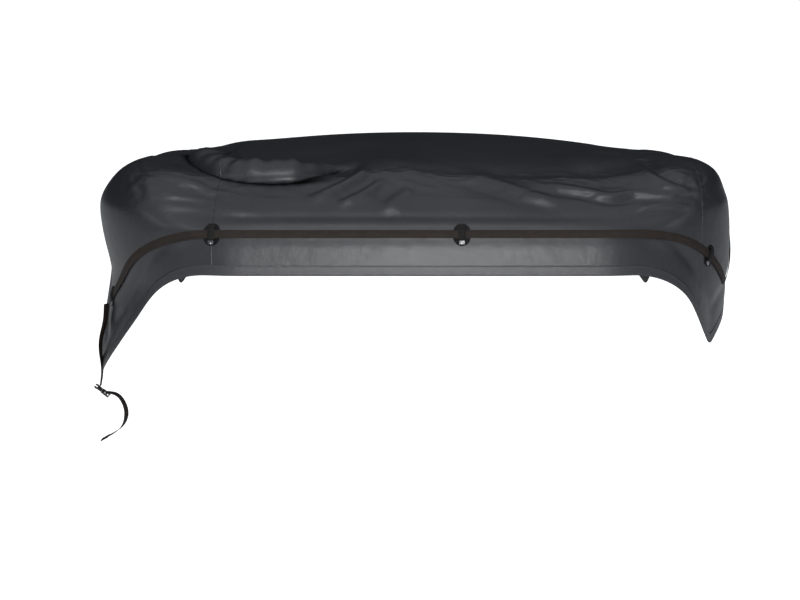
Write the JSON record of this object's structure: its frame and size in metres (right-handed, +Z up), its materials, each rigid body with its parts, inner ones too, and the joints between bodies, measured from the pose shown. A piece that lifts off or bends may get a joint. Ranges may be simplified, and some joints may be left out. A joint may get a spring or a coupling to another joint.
{
  "type": "spa cover",
  "caption": "Square draped cover for an inflatable spa: coated fabric over an inflatable insert, with a strap in keepers round its arched skirt and a side-release buckle.",
  "frame": {"origin": "centre of the underside of the pocket liner, which rests level with the top of the spa's rim", "axes": "+X to the right and +Y to the back as seen from the front, +Z up"},
  "size_m": [1.6765, 1.6612, 0.7659],
  "materials": {
    "cover_fabric": "satin",
    "hem_binding": "satin",
    "seam_tape": "matte",
    "webbing": "matte",
    "keeper_patch": "satin",
    "keeper_loop": "matte",
    "keeper_clip": "polished",
    "rivet": "satin",
    "buckle": "satin",
    "bladder": "satin",
    "valve": "satin",
    "pocket_fabric": "matte",
    "liner_foil": "satin",
    "zip_tape": "matte",
    "zip_metal": "satin"
  },
  "bodies": {
    "cover": {"air_bladder": "bladder", "centre_panel": "cover_fabric", "cinch_strap": "webbing", "female_buckle": "buckle", "hem_binding": "hem_binding", "keeper_clip_01": "keeper_clip", "keeper_clip_02": "keeper_clip", "keeper_clip_03": "keeper_clip", "keeper_clip_04": "keeper_clip", "keeper_clip_05": "keeper_clip", "keeper_clip_06": "keeper_clip", "keeper_clip_07": "keeper_clip", "keeper_clip_08": "keeper_clip", "keeper_clip_09": "keeper_clip", "keeper_clip_10": "keeper_clip", "keeper_clip_11": "keeper_clip", "keeper_loop_01": "keeper_loop", "keeper_loop_02": "keeper_loop", "keeper_loop_03": "keeper_loop", "keeper_loop_04": "keeper_loop", "keeper_loop_05": "keeper_loop", "keeper_loop_06": "keeper_loop", "keeper_loop_07": "keeper_loop", "keeper_loop_08": "keeper_loop", "keeper_loop_09": "keeper_loop", "keeper_loop_10": "keeper_loop", "keeper_loop_11": "keeper_loop", "keeper_patch_01": "keeper_patch", "keeper_patch_02": "keeper_patch", "keeper_patch_03": "keeper_patch", "keeper_patch_04": "keeper_patch", "keeper_patch_05": "keeper_patch", "keeper_patch_06": "keeper_patch", "keeper_patch_07": "keeper_patch", "keeper_patch_08": "keeper_patch", "keeper_patch_09": "keeper_patch", "keeper_patch_10": "keeper_patch", "keeper_patch_11": "keeper_patch", "keeper_rivets": "rivet", "left_panel": "cover_fabric", "pocket_liner": "liner_foil", "pocket_wall": "pocket_fabric", "right_panel": "cover_fabric", "seam_tape_left": "seam_tape", "seam_tape_right": "seam_tape", "valve_body": "valve", "zip_tapes": "zip_tape"},
    "free_strap": {"hanging_strap": "webbing", "loose_tail": "webbing", "tail_fold": "webbing", "male_buckle": "buckle"},
    "prong_front": {"buckle_prong_front": "buckle"},
    "prong_back": {"buckle_prong_back": "buckle"},
    "plug": {"valve_plug": "valve"},
    "slider": {"zip_slider": "zip_metal"},
    "pull": {"zip_pull": "zip_metal"}
  },
  "joints": [
    {"name": "strap_swing", "type": "hinge", "parent": "cover", "child": "free_strap", "pos_m": [-0.806, -0.575, -0.25], "axis": [0, 1, 0], "range_deg": [0, 40]},
    {"name": "prong_front_flex", "type": "hinge", "parent": "free_strap", "child": "prong_front", "pos_m": [-0.828, -0.5854, -0.482], "axis": [-0.6428, 0, -0.766], "range_deg": [0, 7], "stiffness_Nm_per_rad": 0.05},
    {"name": "prong_back_flex", "type": "hinge", "parent": "free_strap", "child": "prong_back", "pos_m": [-0.828, -0.5646, -0.482], "axis": [-0.6428, 0, -0.766], "range_deg": [-7, 0], "stiffness_Nm_per_rad": 0.05},
    {"name": "valve_plug_pull", "type": "slide", "parent": "cover", "child": "plug", "axis": [0, 1, 0], "range_m": [0, 0.016]},
    {"name": "zip_slide", "type": "slide", "parent": "cover", "child": "slider", "axis": [1, 0, 0], "range_m": [0, 0.88]},
    {"name": "zip_pull_swing", "type": "hinge", "parent": "slider", "child": "pull", "pos_m": [-0.44, 0.6, -0.0044], "axis": [0, 1, 0], "range_deg": [-75, 75]}
  ],
  "couplings": [
    {"joint": "prong_back_flex", "follows": "prong_front_flex", "ratio": -1}
  ]
}
